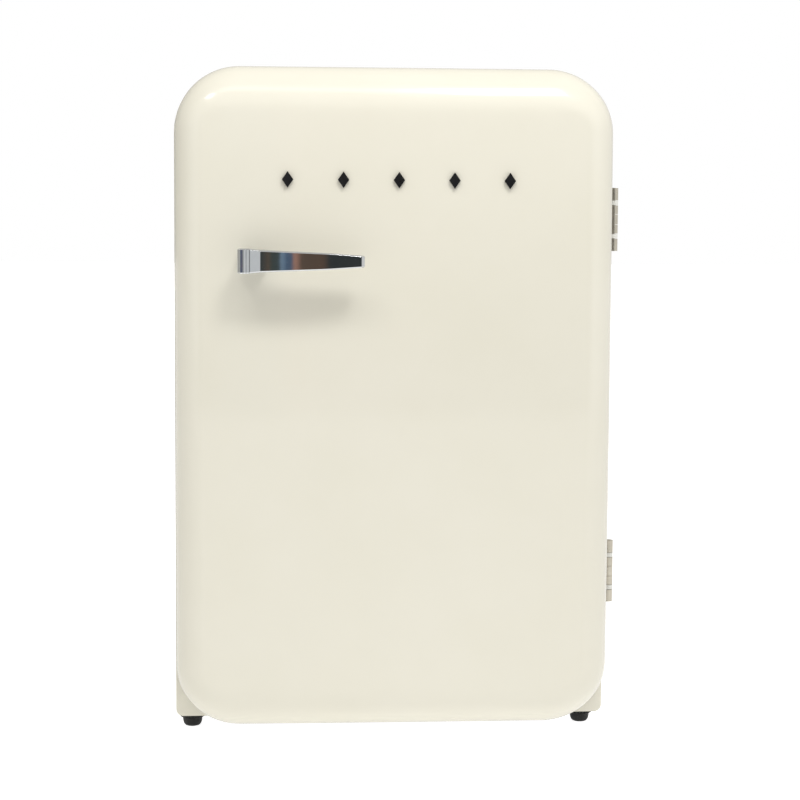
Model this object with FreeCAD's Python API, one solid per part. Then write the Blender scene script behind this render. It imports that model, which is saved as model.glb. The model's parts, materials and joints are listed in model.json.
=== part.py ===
import FreeCAD, Part
import math
import os

# Retro single-door mini fridge: a foam-filled steel cabinet on two screw feet and two rollers, and a
# crowned door on two side hinges. +X right, +Y to the back, +Z up, millimetres. The origin is on the
# floor, below the middle of the cabinet's width.

V = FreeCAD.Vector

# Cabinet
WIDTH = 550.0
HEIGHT = 850.0
CASE_LOW_Z = 26.0
FRONT_Y = -200.0
BACK_Y = 290.0
CORNER_R = 80.0
LOW_CORNER_R = 9.0
SHEET = 1.0
FRONT_FLANGE = 34.0
SIDE_FLANGE = 18.0
FRONT_RAIL = 30.0
BACK_FLANGE = 16.0
HALF_W = WIDTH / 2

# Food compartment
LINER_T = 2.0
CAVITY_HALF_W = 229.0
CAVITY_FLOOR_Z = 68.0
CAVITY_TOP_Z = 804.0
CAVITY_BACK_Y = 240.0
CAVITY_R = 38.0
CAVITY_BACK_R = 14.0
STEP_Y = 85.0
STEP_Z = 260.0
STEP_NOSE_R = 12.0
RIB_REACH = 9.0
RIB_T = 8.0
RIB_SETBACK = 5.0
RIB_BACK_Y = 215.0
RUNNER_X = (165.0, 173.0)
RUNNER_H = 6.0

# Machine compartment below the step
BAY_FRONT_Y = 130.0
BAY_TOP_Z = 215.0
BASE_T = 2.5
BASE_LOW_Z = CASE_LOW_Z + SHEET
BASE_TOP_Z = BASE_LOW_Z + BASE_T
BASE_HALF_W = 265.0
INLET_R = 5.0

# Door
DOOR_HALF_W = 272.5
DOOR_LOW_Z = 22.0
DOOR_BACK_Y = -210.0
DOOR_APEX_Y = -276.0
DOOR_EDGE_R = 34.0
CROWN_R = 17000.0
SKIN_T = 1.2
DOOR_MID_Z = (DOOR_LOW_Z + HEIGHT) / 2
GASKET_GAP = 0.2
GASKET_INSET = 16.5
GASKET_W = 14.0
DYKE_X = (200.0, 220.0)
DYKE_Z = (96.0, 782.0)
DYKE_BACK_Y = -155.0
RACK_T = 2.0
RACK_HALF_W = 199.7
RACKS = {
    "upper": {"z": (690.0, 738.0), "back_y": -150.0},
    "middle": {"z": (440.0, 500.0), "back_y": -138.0},
    "bottom": {"z": (108.0, 192.0), "back_y": -110.0},
}

# Hinges
HINGE_X = HALF_W + 5.0
HINGE_Y = -205.0
HINGE_MIDS = {"upper": 663.8, "lower": 212.4}
BARREL_R = 6.3
PIN_R = 3.0
LEAF_T = 2.5
HINGE_H = 80.0
END_KNUCKLE = 16.0
WASHER_H = 6.0
DOOR_KNUCKLE = 11.5
KNUCKLE_GAP = 0.5
LEAF_CLEAR = 6.6
CABINET_LEAF_END = 40.0
DOOR_LEAF_END = 21.0
SCREW_PITCH = 28.0
SCREW_PLACE = 0.62  # how far out along each leaf its screws lie

# Handle and badge on the door's face
HANDLE_Z = 610.7
HANDLE_END_X = -195.0
HANDLE_TIP_X = -41.0
HANDLE_FACE_Y = -317.0
HANDLE_BACK_Y = -303.0
BADGE_Z = 710.0
BADGE_X = 2.5
BADGE_PITCH = 68.4
BADGE_COUNT = 5

# Interior fittings
UPPER_SHELF_Z = 520.0
LOWER_SHELF_Z = 395.0
CRISPER_COVER_Z = 262.0
GLASS_T = 4.0
SHELF_HALF_W = 227.0
SHELF_CORNER_R = 6.0
SHELF_FRONT_Y = -95.0
SHELF_BACK_Y = 224.0
ICE_HALF_W = 205.0
ICE_Z = (642.0, 792.0)
ICE_Y = (-85.0, 222.0)
ICE_SHEET = 1.5
FLAP_AXIS = (198.0, -100.0)
FLAP_PIN_R = 2.5
FLAP_PIN_L = 5.0
FLAP_Z = (648.0, 786.0)
MOUTH_Z = (648.0, 787.0)
TRAY_RIB_Z = 630.0
HOUSING_X = (181.0, 229.0)
HOUSING_Y = (-60.0, 90.0)
HOUSING_Z = (548.0, 608.0)
HOUSING_T = 2.0
WINDOW_Y = (18.0, 76.0)
WINDOW_Z = (557.0, 599.0)
KNOB_Y = -25.0
KNOB_Z = 578.0
KNOB_SHAFT_R = 3.0
KNOB_SHAFT_L = 18.0
SWITCH_X = (203.0, 229.0)
SWITCH_Y = (-149.0, -119.0)
SWITCH_Z = (540.0, 564.0)
PLUNGER_R = 3.0

# Cooling circuit
COMPRESSOR_AT = V(-70.0, 212.0, 0.0)
COMPRESSOR_R = 66.0
MOUNT_REACH = (62.0, 44.0)
FOOT_PLATE_Z = (41.0, 45.0)
POT_TOP_Z = 184.0
DRAIN_AT = V(-70.0, 225.0, 0.0)
DRAIN_R = 7.0
DRAIN_LOW_Z = 195.0
CONDENSER_Y = 306.0
CONDENSER_X = 226.0
CONDENSER_END_X = 200.0
CONDENSER_LOW_Z = 270.0
CONDENSER_PITCH = 52.0
CONDENSER_PASSES = 11
TUBE_R = 2.5
WIRE_R = 0.8
DRIER_AT = V(-240.0, 262.0, 0.0)
DRIER_Z = (70.0, 170.0)
POT_SIDE_X = COMPRESSOR_AT.x + COMPRESSOR_R + 0.5  # where the pipes meet the compressor
JOINT_GAP = 0.05

# Feet and rollers
FOOT_AT = V(256.0, -142.0, 0.0)
FOOT_TOP_Z = 24.0
STUD_R = 3.95
STUD_TOP_Z = 46.0
SOCKET_R = 10.0
SOCKET_TOP_Z = 52.0
ROLLER_AT = V(230.0, 255.0, 13.0)
ROLLER_R = 13.0
ROLLER_HALF_W = 8.0
AXLE_R = 3.0

WALL_Y = 320.0
TURNING_FIT = 0.05
SLIDE_GAP = 0.3
SIDES = (-1, 1)
NEAR = 1.0  # edges this close to a plane count as lying on it


# ---------------------------------------------------------------- shared shapes


def block(x, y, z):
    """Box from three (low, high) pairs."""
    return Part.makeBox(x[1] - x[0], y[1] - y[0], z[1] - z[0], V(x[0], y[0], z[0]))


def side_block(side, x, y, z):
    """Box given for the +X side, mirrored to the other side when side is -1."""
    return block(x if side > 0 else (-x[1], -x[0]), y, z)


def mirrored(point, side):
    return V(side * point.x, point.y, point.z)


def rod(radius, start, end):
    return Part.makeCylinder(radius, (end - start).Length, start, end - start)


def sleeve(outer, inner, start, end):
    return rod(outer, start, end).cut(rod(inner, start, end))


def slab(half_w, z, top_r, low_r, y):
    """Upright plate with rounded corners: z and y are (low, high) pairs."""
    low, high = z
    corners = [
        (half_w - low_r, low + low_r, low_r, -45),
        (half_w - top_r, high - top_r, top_r, 45),
        (-half_w + top_r, high - top_r, top_r, 135),
        (-half_w + low_r, low + low_r, low_r, 225),
    ]

    def on_arc(corner, turn):
        cx, cz, radius, mid = corner
        angle = math.radians(mid + turn)
        return V(cx + radius * math.cos(angle), y[0], cz + radius * math.sin(angle))

    edges = []
    for corner, following in zip(corners, corners[1:] + corners[:1]):
        edges.append(Part.Arc(*[on_arc(corner, turn) for turn in (-45, 0, 45)]).toShape())
        edges.append(Part.makeLine(on_arc(corner, 45), on_arc(following, -45)))
    return Part.Face(Part.Wire(edges)).extrude(V(0, y[1] - y[0], 0))


def turned(profile, centre):
    """Solid turned about a vertical line through centre, from (radius, z) points."""
    points = [V(centre.x + radius, centre.y, z) for radius, z in profile]
    face = Part.Face(Part.makePolygon(points + points[:1]))
    return face.revolve(V(centre.x, centre.y, 0), V(0, 0, 1), 360)


def pipe(points, radius, bend):
    """Round pipe along straight runs, with an arc of radius bend at each corner."""
    edges = []
    start = points[0]
    for before, corner, after in zip(points, points[1:], points[2:]):
        back = (before - corner).normalize()
        ahead = (after - corner).normalize()
        turn = math.pi - back.getAngle(ahead)
        reach = bend * math.tan(turn / 2)
        inward = (back + ahead).normalize() * (bend / math.cos(turn / 2) - bend)
        edges.append(Part.makeLine(start, corner + back * reach))
        arc = Part.Arc(corner + back * reach, corner + inward, corner + ahead * reach)
        edges.append(arc.toShape())
        start = corner + ahead * reach
    edges.append(Part.makeLine(start, points[-1]))
    ring = Part.Wire(Part.makeCircle(radius, points[0], points[1] - points[0]))
    return Part.Wire(edges).makePipeShell([ring], True, True)


def screw(seat, inward, recess, sunk):
    """Cross-head screw with its head on seat and its shank running inward; sunk heads lie flush."""
    head_r = 4.0 if sunk else 3.6
    head_h = 2.0
    shank_r = 1.8
    length = 15.0
    slot_l = 4.0
    slot_w = 1.0
    slot_depth = 1.2
    top = 0.0 if sunk else -head_h
    if sunk:
        head = Part.makeCone(head_r, shank_r, head_h)
    else:
        head = Part.makeCylinder(head_r, head_h, V(0, 0, top))
    shape = head.fuse(Part.makeCylinder(shank_r, length)).removeSplitter()
    if recess:
        for size in ((slot_l, slot_w), (slot_w, slot_l)):
            low = V(-size[0] / 2, -size[1] / 2, top)
            shape = shape.cut(Part.makeBox(size[0], size[1], slot_depth, low))
    shape.Placement = FreeCAD.Placement(seat, FreeCAD.Rotation(V(0, 0, 1), inward))
    return shape


def cut_all(shape, tools):
    for tool in tools:
        shape = shape.cut(tool)
    return shape


def group(shapes):
    return Part.makeCompound(shapes)


def fused(shapes):
    return shapes[0].fuse(shapes[1:]).removeSplitter()


# ---------------------------------------------------------------- screws


def back_panel_screws(recess):
    side_x = HALF_W - 11.5
    side_z = (240.0, 440.0, 640.0)
    top_z = 837.0
    top_x = 110.0
    spots = [(side * side_x, z) for side in SIDES for z in side_z]
    spots += [(side * top_x, top_z) for side in SIDES]
    face_y = BACK_Y + SHEET
    return [screw(V(x, face_y, z), V(0, -1, 0), recess, False) for x, z in spots]


def hinge_screws(leaf_x, leaf_y, recess):
    """Three flush screws for each leaf, in a row at leaf_y, through a leaf that lies against leaf_x."""
    return [
        screw(V(leaf_x + LEAF_T, leaf_y, mid + step * SCREW_PITCH), V(-1, 0, 0), recess, True)
        for mid in HINGE_MIDS.values()
        for step in (-1, 0, 1)
    ]


def cabinet_hinge_screws(recess):
    return hinge_screws(HALF_W, HINGE_Y + SCREW_PLACE * CABINET_LEAF_END, recess)


def door_hinge_screws(recess):
    return hinge_screws(DOOR_HALF_W, HINGE_Y - SCREW_PLACE * DOOR_LEAF_END, recess)


# ---------------------------------------------------------------- cabinet


def case_block(inset, y):
    """The cabinet's outer form, shrunk by inset."""
    z = (CASE_LOW_Z + inset, HEIGHT - inset)
    return slab(HALF_W - inset, z, CORNER_R - inset, LOW_CORNER_R - inset, y)


def opening_block(inset, y):
    """Rounded opening of the front flange, its edge inset from the cabinet's outline."""
    z = (CASE_LOW_Z + inset, HEIGHT - inset)
    radius = CORNER_R - inset
    return slab(HALF_W - inset, z, radius, radius, y)


def outer_wrap():
    """Painted steel shell: sides, top, front flange, and narrow flanges below and behind."""
    shell = case_block(0, (FRONT_Y, BACK_Y))
    shell = shell.cut(case_block(SHEET, (FRONT_Y + SHEET, BACK_Y - SHEET)))
    shell = shell.cut(opening_block(FRONT_FLANGE, (FRONT_Y, FRONT_Y + SHEET)))
    inner_x = HALF_W - BACK_FLANGE
    back = slab(inner_x, (CASE_LOW_Z, HEIGHT - BACK_FLANGE), CORNER_R - BACK_FLANGE, SHEET,
                (BACK_Y - SHEET, BACK_Y))
    below_x = HALF_W - SIDE_FLANGE
    below_z = (CASE_LOW_Z, CASE_LOW_Z + SHEET)
    below = block((-below_x, below_x), (FRONT_Y + FRONT_RAIL, BACK_Y), below_z)
    shell = cut_all(shell, [back, below] + stud_bores())
    return cut_all(shell, back_panel_screws(False) + cabinet_hinge_screws(False))


def back_panel():
    """Flat sheet screwed over the cabinet's back, above the machine compartment."""
    inset = 4.0
    overlap = 10.0
    panel = slab(HALF_W - inset, (BAY_TOP_Z - overlap, HEIGHT - inset), CORNER_R - inset, SHEET,
                 (BACK_Y, BACK_Y + SHEET))
    return cut_all(panel, back_panel_screws(False) + evaporator_lines())


def stud_bores():
    """Clearance for the front feet's studs."""
    gap = 0.6
    return [rod(STUD_R + gap, mirrored(FOOT_AT, side), mirrored(FOOT_AT, side) + V(0, 0, STUD_TOP_Z))
            for side in SIDES]


def bottom_pan():
    """Bent sheet under the foam: floor, step wall and ceiling of the machine compartment."""
    floor_x = HALF_W - LOW_CORNER_R
    wall_x = HALF_W - SHEET
    low = CASE_LOW_Z + SHEET
    floor = block((-floor_x, floor_x), (FRONT_Y + SHEET, BAY_FRONT_Y), (low, low + SHEET))
    wall = block((-wall_x, wall_x), (BAY_FRONT_Y - SHEET, BAY_FRONT_Y), (low + LOW_CORNER_R, BAY_TOP_Z))
    skirt = block((-floor_x, floor_x), (BAY_FRONT_Y - SHEET, BAY_FRONT_Y), (low, low + LOW_CORNER_R))
    ceiling = block((-wall_x, wall_x), (BAY_FRONT_Y, BACK_Y - SHEET), (BAY_TOP_Z - SHEET, BAY_TOP_Z))
    return cut_all(fused([floor, wall, skirt, ceiling]), stud_bores() + [drain_bore()])


def cavity_block(grow):
    """The food compartment as a solid, grown by grow: a rounded box less the step at the back."""
    half_w = CAVITY_HALF_W + grow
    z = (CAVITY_FLOOR_Z - grow, CAVITY_TOP_Z + grow)
    radius = CAVITY_R + grow
    room = slab(half_w, z, radius, radius, (FRONT_Y, CAVITY_BACK_Y + grow))
    rear = [edge for edge in room.Edges if edge.BoundBox.YMin > CAVITY_BACK_Y - NEAR]
    room = room.makeFillet(CAVITY_BACK_R + grow, rear)
    step = block((-WIDTH, WIDTH), (STEP_Y + grow, BACK_Y), (0, STEP_Z - grow))
    nose = [edge for edge in step.Edges
            if edge.BoundBox.YMax < STEP_Y + grow + NEAR and edge.BoundBox.ZMin > STEP_Z - grow - NEAR]
    return room.cut(step.makeFillet(STEP_NOSE_R - grow, nose))


def inner_liner():
    """White moulded lining with shelf ribs, tray ribs and drawer runners."""
    lip = opening_block(FRONT_FLANGE, (FRONT_Y, FRONT_Y + LINER_T))
    lining = lip.fuse(cavity_block(LINER_T)).cut(cavity_block(0))
    rib_x = (CAVITY_HALF_W - RIB_REACH, CAVITY_HALF_W + LINER_T / 2)
    long_y = (SHELF_FRONT_Y + RIB_SETBACK, RIB_BACK_Y)
    short_y = (SHELF_FRONT_Y + RIB_SETBACK, STEP_Y + LINER_T / 2)
    ribs = [side_block(side, rib_x, long_y, (top - RIB_T, top))
            for side in SIDES for top in (UPPER_SHELF_Z, LOWER_SHELF_Z, TRAY_RIB_Z)]
    ribs += [side_block(side, rib_x, short_y, (CRISPER_COVER_Z - RIB_T, CRISPER_COVER_Z))
             for side in SIDES]
    runner_z = (CAVITY_FLOOR_Z - LINER_T / 2, CAVITY_FLOOR_Z + RUNNER_H)
    runners = [side_block(side, RUNNER_X, short_y, runner_z) for side in SIDES]
    lining = fused([lining] + ribs + runners)
    return cut_all(lining, [drain_bore()] + evaporator_lines())


def cabinet_foam():
    """Rigid foam between the steel shell and the lining."""
    foam = case_block(SHEET, (FRONT_Y + SHEET, BACK_Y)).cut(outer_wrap())
    bay = block((-WIDTH, WIDTH), (BAY_FRONT_Y - SHEET, BACK_Y), (0, BAY_TOP_Z))
    foam = cut_all(foam, [cavity_block(LINER_T), bay, bottom_pan()])
    foam = foam.cut(opening_block(FRONT_FLANGE, (FRONT_Y, FRONT_Y + LINER_T)))
    sockets = [rod(SOCKET_R, mirrored(FOOT_AT, side), mirrored(FOOT_AT, side) + V(0, 0, SOCKET_TOP_Z))
               for side in SIDES]
    screws = back_panel_screws(False) + cabinet_hinge_screws(False)
    return cut_all(foam, sockets + screws + [drain_bore()] + evaporator_lines())


def front_foot_sockets():
    """Weld nut and plastic cap that take each front foot's stud."""
    low = CASE_LOW_Z + 2 * SHEET
    nut_r = 7.5
    nut_h = 7.0
    cap_t = 1.5
    parts = []
    for side in SIDES:
        at = mirrored(FOOT_AT, side) + V(0, 0, low)
        corners = [at + V(nut_r * math.cos(k * math.pi / 3), nut_r * math.sin(k * math.pi / 3), 0)
                   for k in range(6)]
        nut = Part.Face(Part.makePolygon(corners + corners[:1])).extrude(V(0, 0, nut_h))
        parts.append(nut.cut(rod(STUD_R + TURNING_FIT, at, at + V(0, 0, nut_h))))
        cap = rod(SOCKET_R, at, at + V(0, 0, SOCKET_TOP_Z - low))
        parts.append(cap.cut(rod(SOCKET_R - cap_t, at, at + V(0, 0, SOCKET_TOP_Z - low - cap_t))))
    return group(parts)


def compressor_base_plate():
    """Steel plate across the cabinet's back, with a rear lip and slots for the rollers."""
    lip_h = 15.0
    lip_x = BASE_HALF_W - 10
    slot_reach = (10.0, 16.0)
    y = (BAY_FRONT_Y + SHEET, BACK_Y - 2 * SHEET)
    plate = block((-BASE_HALF_W, BASE_HALF_W), y, (BASE_LOW_Z, BASE_TOP_Z))
    lip = block((-lip_x, lip_x), (y[1] - BASE_T, y[1]), (BASE_LOW_Z, BASE_TOP_Z + lip_h))
    slot_x = (ROLLER_AT.x - slot_reach[0], ROLLER_AT.x + slot_reach[0])
    slot_y = (ROLLER_AT.y - slot_reach[1], ROLLER_AT.y + slot_reach[1])
    slots = [side_block(side, slot_x, slot_y, (0, BASE_TOP_Z)) for side in SIDES]
    return cut_all(fused([plate, lip]), slots + [inlet_bore()])


def wall_spacers():
    """Two plastic stand-offs that keep the back clear of the wall."""
    mid_x = 215.0
    mid_z = 818.0
    plate_t = 3.0
    front_y = BACK_Y + SHEET
    plates = [
        (3.0, 12.0, (front_y, WALL_Y)),
        (11.0, 16.0, (front_y, front_y + plate_t)),
        (9.0, 12.0, (WALL_Y - plate_t, WALL_Y)),
    ]
    return group([
        fused([side_block(side, (mid_x - half_x, mid_x + half_x), y, (mid_z - half_z, mid_z + half_z))
               for half_x, half_z, y in plates])
        for side in SIDES
    ])


def along_inlet(radius, front, back):
    """Rod through the cord inlet, from front to back measured from the base plate's lip."""
    at = V(150.0, BACK_Y - 2 * SHEET, 37.0)
    return rod(radius, at + V(0, front, 0), at + V(0, back, 0))


def inlet_bore():
    return along_inlet(INLET_R, -8, 2)


def cord_inlet():
    """Bushing in the base plate's lip that the supply cord would leave through."""
    wall = 1.5
    lip = 2.0
    bushing = fused([along_inlet(INLET_R, -5, 0), along_inlet(INLET_R + lip, 0, 3)])
    return bushing.cut(along_inlet(INLET_R - wall, -8, 7))


# ---------------------------------------------------------------- cooling circuit


def compressor():
    """Sealed pot with a weld seam, on a foot plate with four mount holes."""
    r = COMPRESSOR_R
    shell = turned(
        [(0, 44), (r * 0.5, 46), (r * 0.82, 54), (r, 72), (r, 118), (r + 4, 118), (r + 4, 122),
         (r, 122), (r, 152), (r * 0.84, 170), (r * 0.5, 181), (0, POT_TOP_Z)],
        COMPRESSOR_AT,
    )
    margin = 12.0
    reach_x, reach_y = (reach + margin for reach in MOUNT_REACH)
    plate = block((COMPRESSOR_AT.x - reach_x, COMPRESSOR_AT.x + reach_x),
                  (COMPRESSOR_AT.y - reach_y, COMPRESSOR_AT.y + reach_y), FOOT_PLATE_Z)
    holes = [rod(4.0, spot, spot + V(0, 0, COMPRESSOR_R)) for spot in mount_spots()]
    return fused([shell, cut_all(plate, holes)])


def mount_spots():
    reach_x, reach_y = MOUNT_REACH
    return [COMPRESSOR_AT + V(sx * reach_x, sy * reach_y, 0) for sx in SIDES for sy in SIDES]


def compressor_mounts():
    """Four waisted rubber mounts."""
    low, high = FOOT_PLATE_Z
    profile = [(0, BASE_TOP_Z), (10.5, BASE_TOP_Z), (10.5, 31), (9, 33), (10.5, 35), (10.5, low),
               (3.9, low), (3.9, high), (7, high), (7, 48), (5, 51), (0, 51)]
    return group([turned(profile, spot) for spot in mount_spots()])


def start_relay_cover():
    """Plastic cap over the compressor's terminals."""
    gap = 0.5
    half_y = 23.0
    near_x = COMPRESSOR_AT.x + COMPRESSOR_R
    x = (near_x + gap, near_x + 30)
    cap = block(x, (COMPRESSOR_AT.y - half_y, COMPRESSOR_AT.y + half_y), (84.0, 117.0))
    return cap.makeFillet(3.0, [edge for edge in cap.Edges if edge.BoundBox.XMin > x[1] - NEAR])


def evaporation_tray():
    """Open tray on top of the compressor, where melt water dries off."""
    wall = 2.0
    half_x = 65.0
    half_y = 61.0
    low = POT_TOP_Z + 1
    high = low + 18

    def tub(inset, z):
        return block((COMPRESSOR_AT.x - half_x + inset, COMPRESSOR_AT.x + half_x - inset),
                     (COMPRESSOR_AT.y - half_y + inset, COMPRESSOR_AT.y + half_y - inset), z)

    return tub(0, (low, high)).cut(tub(wall, (low + wall, high)))


def drain_bore():
    return rod(DRAIN_R, DRAIN_AT + V(0, 0, DRAIN_LOW_Z), DRAIN_AT + V(0, 0, STEP_Z))


def drain_hose():
    """Straight hose from the step's gutter down to the tray."""
    wall = 1.5
    return sleeve(DRAIN_R, DRAIN_R - wall, DRAIN_AT + V(0, 0, DRAIN_LOW_Z), DRAIN_AT + V(0, 0, STEP_Z))


def condenser_levels():
    return [CONDENSER_LOW_Z + k * CONDENSER_PITCH for k in range(CONDENSER_PASSES)]


def condenser_tube():
    """One tube folded back and forth behind the cabinet."""
    points = []
    for k, z in enumerate(condenser_levels()):
        side = -1 if k % 2 == 0 else 1
        points += [V(side * CONDENSER_X, CONDENSER_Y, z), V(-side * CONDENSER_X, CONDENSER_Y, z)]
    points[0].x = -CONDENSER_END_X
    points[-1].x = CONDENSER_END_X
    return pipe(points, TUBE_R, CONDENSER_PITCH / 2 - 0.5)


def condenser_wires():
    """Fin wires welded across both faces of the folded tube."""
    offset = TUBE_R + WIRE_R + 0.02
    beyond = 8.0
    low = CONDENSER_LOW_Z - beyond
    high = condenser_levels()[-1] + beyond
    return group([
        rod(WIRE_R, V(x, CONDENSER_Y + side * offset, low), V(x, CONDENSER_Y + side * offset, high))
        for x in range(-190, 191, 20)
        for side in SIDES
    ])


def condenser_brackets():
    """Four bent clips between the back panel and the condenser."""
    x = (135.0, 145.0)
    front_y = BACK_Y + SHEET
    strip_t = 1.5
    parts = []
    for side in SIDES:
        for level in (1, CONDENSER_PASSES - 2):
            z = condenser_levels()[level]
            foot = side_block(side, x, (front_y, front_y + strip_t), (z - 14, z + 14))
            arm = side_block(side, x, (front_y, CONDENSER_Y - TUBE_R - JOINT_GAP), (z - 1, z + 1))
            parts.append(fused([foot, arm]))
    return group(parts)


def evaporator_lines():
    """Suction line and capillary: from the machine compartment up behind the back panel."""
    end_y = ICE_Y[1] + JOINT_GAP
    suction = [V(POT_SIDE_X, 222, 156), V(60, 222, 156), V(60, 297, 156), V(60, 297, 700),
               V(60, end_y, 700)]
    low = DRIER_AT + V(0, 0, DRIER_Z[0])
    capillary = [low, low + V(0, 0, -22), V(low.x, 282, 48), V(74, 282, 48), V(74, 282, 105),
                 V(74, 297, 105), V(74, 297, 690), V(74, end_y, 690)]
    return [pipe(suction, 3.5, 12), pipe(capillary, 1.2, 5)]


def refrigerant_pipes():
    """Discharge line, condenser outlet, suction line and capillary."""
    top = condenser_levels()[-1]
    end_x = CONDENSER_END_X + JOINT_GAP
    discharge = [V(POT_SIDE_X, 200, 72), V(240, 200, 72), V(240, CONDENSER_Y, 72), V(240, CONDENSER_Y, top),
                 V(end_x, CONDENSER_Y, top)]
    drop = DRIER_AT + V(0, 0, 190)
    outlet = [V(-end_x, CONDENSER_Y, CONDENSER_LOW_Z), V(drop.x, CONDENSER_Y, CONDENSER_LOW_Z),
              V(drop.x, CONDENSER_Y, drop.z), drop, DRIER_AT + V(0, 0, DRIER_Z[1] + JOINT_GAP)]
    return group([pipe(discharge, TUBE_R, 12), pipe(outlet, TUBE_R, 12)] + evaporator_lines())


def filter_drier():
    """Copper cartridge with necked ends, standing beside the compressor."""
    low = DRIER_Z[0] + JOINT_GAP
    high = DRIER_Z[1]
    profile = [(0, low), (3, low), (3, 78), (9, 86), (9, 154), (4, 163), (4, high), (0, high)]
    return turned(profile, DRIER_AT)


def evaporator_box():
    """Aluminium ice box, closed at the back, with raised coolant channels below."""
    t = ICE_SHEET
    outer = block((-ICE_HALF_W, ICE_HALF_W), ICE_Y, ICE_Z)
    inner = block((-ICE_HALF_W + t, ICE_HALF_W - t), (ICE_Y[0], ICE_Y[1] - t), (ICE_Z[0] + t, ICE_Z[1] - t))
    channel_r = 2.5
    channel_x = ICE_HALF_W - 20
    channels = [rod(channel_r, V(-channel_x, y, ICE_Z[0]), V(channel_x, y, ICE_Z[0]))
                for y in range(-60, 211, 45)]
    return fused([outer] + channels).cut(inner)


def ice_box_frame():
    """White surround on the ice box's mouth, with two hinge lugs, and four hangers above."""
    frame_y = (ICE_Y[0] - 10, ICE_Y[0])
    lug_half_w = 5.0
    hanger_reach = (12.0, 10.0)
    outer = block((-210.0, 210.0), frame_y, (ICE_Z[0] - 6, ICE_Z[1] + 5))
    mouth = block((-200.0, 200.0), frame_y, MOUTH_Z)
    x, y = FLAP_AXIS
    lugs = [block((x - lug_half_w, x + lug_half_w), (y - lug_half_w, frame_y[0] + NEAR), z)
            for z in ((MOUTH_Z[0] - 10, MOUTH_Z[0] - 2), (MOUTH_Z[1] + 1, MOUTH_Z[1] + 9))]
    pin_z = (FLAP_Z[0] - FLAP_PIN_L - 1, FLAP_Z[1] + FLAP_PIN_L + 2)
    pin_bore = rod(FLAP_PIN_R + TURNING_FIT, V(x, y, pin_z[0]), V(x, y, pin_z[1]))
    frame = fused([outer.cut(mouth)] + lugs).cut(pin_bore)
    reach_x, reach_y = hanger_reach
    hangers = [block((hx - reach_x, hx + reach_x), (hy - reach_y, hy + reach_y), (ICE_Z[1], CAVITY_TOP_Z))
               for hx in (-150.0, 150.0) for hy in (-40.0, 170.0)]
    return group([frame] + hangers)


# ---------------------------------------------------------------- interior fittings


def shelf_glass(z, back_y):
    plate = block((-SHELF_HALF_W, SHELF_HALF_W), (SHELF_FRONT_Y, back_y), (z, z + GLASS_T))
    upright = [edge for edge in plate.Edges if edge.BoundBox.ZLength > GLASS_T / 2]
    return plate.makeFillet(SHELF_CORNER_R, upright)


def upper_shelf_glass():
    return shelf_glass(UPPER_SHELF_Z, SHELF_BACK_Y)


def lower_shelf_glass():
    return shelf_glass(LOWER_SHELF_Z, SHELF_BACK_Y)


def crisper_cover_glass():
    return shelf_glass(CRISPER_COVER_Z, SHELF_BACK_Y)


def shelf_trims():
    """White strips clipped over the front edge of each glass plate, and behind the two shelves."""
    grip = 10.0
    wall = 2.0
    rear_rise = 10.0
    half_w = SHELF_HALF_W - 2 * SHELF_CORNER_R
    parts = []
    for z in (UPPER_SHELF_Z, LOWER_SHELF_Z, CRISPER_COVER_Z):
        slot = (z, z + GLASS_T)
        front = block((-half_w, half_w), (SHELF_FRONT_Y - wall, SHELF_FRONT_Y + grip),
                      (z - wall, z + GLASS_T + wall))
        parts.append(front.cut(block((-WIDTH, WIDTH), (SHELF_FRONT_Y, SHELF_FRONT_Y + grip), slot)))
    for z in (UPPER_SHELF_Z, LOWER_SHELF_Z):
        rear = block((-half_w, half_w), (SHELF_BACK_Y - grip, SHELF_BACK_Y + wall),
                     (z - wall, z + GLASS_T + rear_rise))
        slot = block((-WIDTH, WIDTH), (SHELF_BACK_Y - grip, SHELF_BACK_Y), (z, z + GLASS_T))
        above = block((-WIDTH, WIDTH), (SHELF_BACK_Y - grip, SHELF_BACK_Y - wall),
                      (z + GLASS_T + wall, z + GLASS_T + rear_rise))
        parts.append(cut_all(rear, [slot, above]))
    return group(parts)


def control_housing():
    """Plastic box on the right wall for the thermostat and the lamp, open to the wall."""
    t = HOUSING_T
    edge_r = 6.0
    shaft_gap = 0.3
    shell = block(HOUSING_X, HOUSING_Y, HOUSING_Z)
    front = [edge for edge in shell.Edges if edge.BoundBox.XMax < HOUSING_X[0] + NEAR]
    shell = shell.makeFillet(edge_r, front)
    room = block((HOUSING_X[0] + t, HOUSING_X[1]), (HOUSING_Y[0] + t, HOUSING_Y[1] - t),
                 (HOUSING_Z[0] + t, HOUSING_Z[1] - t))
    return cut_all(shell, [room, along_shaft(KNOB_SHAFT_R + shaft_gap, -NEAR, t + NEAR), lamp_window(0)])


def along_shaft(radius, start, end):
    """Rod on the dial's axis, from start to end measured into the housing from its face."""
    face = V(HOUSING_X[0], KNOB_Y, KNOB_Z)
    return rod(radius, face + V(start, 0, 0), face + V(end, 0, 0))


def lamp_window(proud):
    return block((HOUSING_X[0] - proud, HOUSING_X[0] + HOUSING_T), WINDOW_Y, WINDOW_Z)


def lamp_cover():
    """Clear ribbed window in front of the lamp."""
    proud = 1.5
    groove_depth = 0.8
    groove_w = 2.0
    margin = 3.0
    groove_x = (HOUSING_X[0] - 2 * proud, HOUSING_X[0] - proud + groove_depth)
    groove_z = (WINDOW_Z[0] + margin, WINDOW_Z[1] - margin)
    grooves = [block(groove_x, (y, y + groove_w), groove_z) for y in range(22, 73, 5)]
    return cut_all(lamp_window(proud), grooves)


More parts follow.
